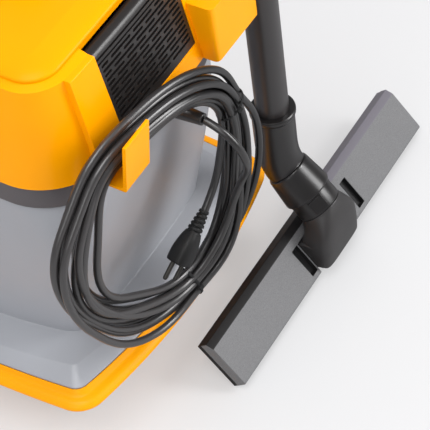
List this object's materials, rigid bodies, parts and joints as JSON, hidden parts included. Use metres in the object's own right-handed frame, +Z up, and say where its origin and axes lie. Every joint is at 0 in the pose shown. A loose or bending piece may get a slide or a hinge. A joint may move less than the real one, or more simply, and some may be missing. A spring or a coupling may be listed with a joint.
{
  "type": "wet and dry vacuum cleaner",
  "caption": "Castored shop vacuum with stepped grey tank, yellow motor head, coiled mains lead on a rear hook and a parked suction wand with a brushed floor tool.",
  "frame": {"origin": "on the floor, under the middle of the overall box of the machine and its parked wand, without the loose mains lead", "axes": "+Z up, +Y to the rear of the machine where the hook and the parked wand are, +X to the side away from the wand"},
  "size_m": [0.5515, 0.4752, 1.0989],
  "materials": {
    "yellow_shell": "smooth moulded plastic, faint fine texture, satin gloss",
    "orange_base": "moulded plastic, satin",
    "tank_plastic": "grey moulded plastic, fine grain",
    "band_plastic": "dark grey moulded plastic",
    "black_plastic": "black moulded plastic, satin",
    "tool_plastic": "dark grey plastic with a grained top",
    "tube_plastic": "black extruded tube, satin",
    "cord_rubber": "black flexible sheath, satin",
    "seal_rubber": "soft matt rubber",
    "wheel_rubber": "grey-black tread",
    "bristle": "packed black nylon bristle",
    "steel": "bright zinc-plated steel",
    "pin_metal": "nickel-plated brass",
    "white_plastic": "white moulded plastic",
    "filter_paper": "pleated filter paper",
    "motor_steel": "laminated steel",
    "red_plastic": "glossy red plastic"
  },
  "bodies": {
    "base": {"base_bumper": "orange_base", "tank": "tank_plastic", "tank_seal": "seal_rubber", "inlet_port": "black_plastic", "latch_pin_left": "steel", "latch_pin_right": "steel"},
    "head": {"head_band": "band_plastic", "head_shroud": "yellow_shell", "top_cover": "yellow_shell", "rear_grille": "black_plastic", "carry_handle": "black_plastic", "cord_hook": "yellow_shell", "wand_holder": "orange_base", "strain_relief": "cord_rubber", "motor_housing": "black_plastic", "motor_stator": "motor_steel", "float_cage": "black_plastic", "filter_cartridge": "filter_paper", "switch_bezel": "black_plastic", "cord_lead": "cord_rubber", "cord_tail": "cord_rubber", "cord_coil": "cord_rubber", "cord_tie_1": "cord_rubber", "cord_tie_2": "cord_rubber", "plug_body": "cord_rubber", "plug_pin_1": "pin_metal", "plug_pin_2": "pin_metal"},
    "latch_left": {"latch_left": "black_plastic"},
    "latch_right": {"latch_right": "black_plastic"},
    "switch": {"switch_rocker": "red_plastic"},
    "rotor": {"motor_armature": "motor_steel", "fan_impeller": "white_plastic"},
    "float": {"float_ball": "white_plastic"},
    "filter_cap": {"filter_cap": "black_plastic"},
    "wand": {"wand_lower": "tube_plastic", "elbow_collar": "black_plastic"},
    "wand_upper": {"wand_upper": "tube_plastic"},
    "neck": {"swivel_cuff": "black_plastic", "lock_ring": "black_plastic", "tool_neck": "black_plastic", "neck_pivot_pin": "steel"},
    "floor_tool": {"tool_cover": "tool_plastic", "sole_plate": "tool_plastic", "brush_strip_inner": "bristle", "brush_strip_outer": "bristle"},
    "caster_1": {"caster_fork_1": "black_plastic", "caster_axle_1": "steel"},
    "wheel_1": {"caster_wheel_1": "wheel_rubber"},
    "caster_2": {"caster_fork_2": "black_plastic", "caster_axle_2": "steel"},
    "wheel_2": {"caster_wheel_2": "wheel_rubber"},
    "caster_3": {"caster_fork_3": "black_plastic", "caster_axle_3": "steel"},
    "wheel_3": {"caster_wheel_3": "wheel_rubber"},
    "caster_4": {"caster_fork_4": "black_plastic", "caster_axle_4": "steel"},
    "wheel_4": {"caster_wheel_4": "wheel_rubber"}
  },
  "joints": [
    {"name": "head_lift", "type": "slide", "parent": "base", "child": "head", "axis": [0, 0, 1], "range_m": [0, 0.16]},
    {"name": "latch_right_turn", "type": "hinge", "parent": "base", "child": "latch_right", "pos_m": [0.2285, -0.04161, 0.296], "axis": [0, 1, 0], "range_deg": [0, 70]},
    {"name": "latch_left_turn", "type": "hinge", "parent": "base", "child": "latch_left", "pos_m": [-0.0655, -0.04161, 0.296], "axis": [0, -1, 0], "range_deg": [0, 70]},
    {"name": "switch_rock", "type": "hinge", "parent": "head", "child": "switch", "pos_m": [0.0815, -0.19433, 0.4113], "axis": [-1, 0, 0], "range_deg": [0, 16]},
    {"name": "motor_spin", "type": "hinge", "parent": "head", "child": "rotor", "pos_m": [0.0815, -0.04161, 0.4], "axis": [0, 0, 1], "continuous": true},
    {"name": "float_rise", "type": "slide", "parent": "head", "child": "float", "axis": [0, 0, 1], "range_m": [0, 0.042]},
    {"name": "filter_cap_twist", "type": "hinge", "parent": "head", "child": "filter_cap", "pos_m": [0.0815, -0.04161, 0.22], "axis": [0, 0, 1], "range_deg": [0, 60]},
    {"name": "wand_pull", "type": "slide", "parent": "head", "child": "wand", "axis": [0, 1, 0], "range_m": [0, 0.15]},
    {"name": "wand_extend", "type": "slide", "parent": "wand", "child": "wand_upper", "axis": [0, 0, 1], "range_m": [0, 0.05]},
    {"name": "neck_swivel", "type": "hinge", "parent": "wand", "child": "neck", "pos_m": [-0.0745, 0.16189, 0.13259], "axis": [0, 0.6508, -0.7593], "range_deg": [-12, 12]},
    {"name": "tool_tilt", "type": "hinge", "parent": "neck", "child": "floor_tool", "pos_m": [-0.0745, 0.21064, 0.02792], "axis": [1, 0, 0], "range_deg": [0, 60]},
    {"name": "caster_swivel_1", "type": "hinge", "parent": "base", "child": "caster_1", "pos_m": [0.2045, 0.08539, 0.06], "axis": [0, 0, 1], "continuous": true},
    {"name": "wheel_roll_1", "type": "hinge", "parent": "caster_1", "child": "wheel_1", "pos_m": [0.2045, 0.07039, 0.024], "axis": [1, 0, 0], "continuous": true},
    {"name": "caster_swivel_2", "type": "hinge", "parent": "base", "child": "caster_2", "pos_m": [-0.0415, 0.08539, 0.06], "axis": [0, 0, 1], "continuous": true},
    {"name": "wheel_roll_2", "type": "hinge", "parent": "caster_2", "child": "wheel_2", "pos_m": [-0.0415, 0.07039, 0.024], "axis": [1, 0, 0], "continuous": true},
    {"name": "caster_swivel_3", "type": "hinge", "parent": "base", "child": "caster_3", "pos_m": [-0.0415, -0.16861, 0.06], "axis": [0, 0, 1], "continuous": true},
    {"name": "wheel_roll_3", "type": "hinge", "parent": "caster_3", "child": "wheel_3", "pos_m": [-0.0415, -0.18361, 0.024], "axis": [1, 0, 0], "continuous": true},
    {"name": "caster_swivel_4", "type": "hinge", "parent": "base", "child": "caster_4", "pos_m": [0.2045, -0.16861, 0.06], "axis": [0, 0, 1], "continuous": true},
    {"name": "wheel_roll_4", "type": "hinge", "parent": "caster_4", "child": "wheel_4", "pos_m": [0.2045, -0.18361, 0.024], "axis": [1, 0, 0], "continuous": true}
  ]
}
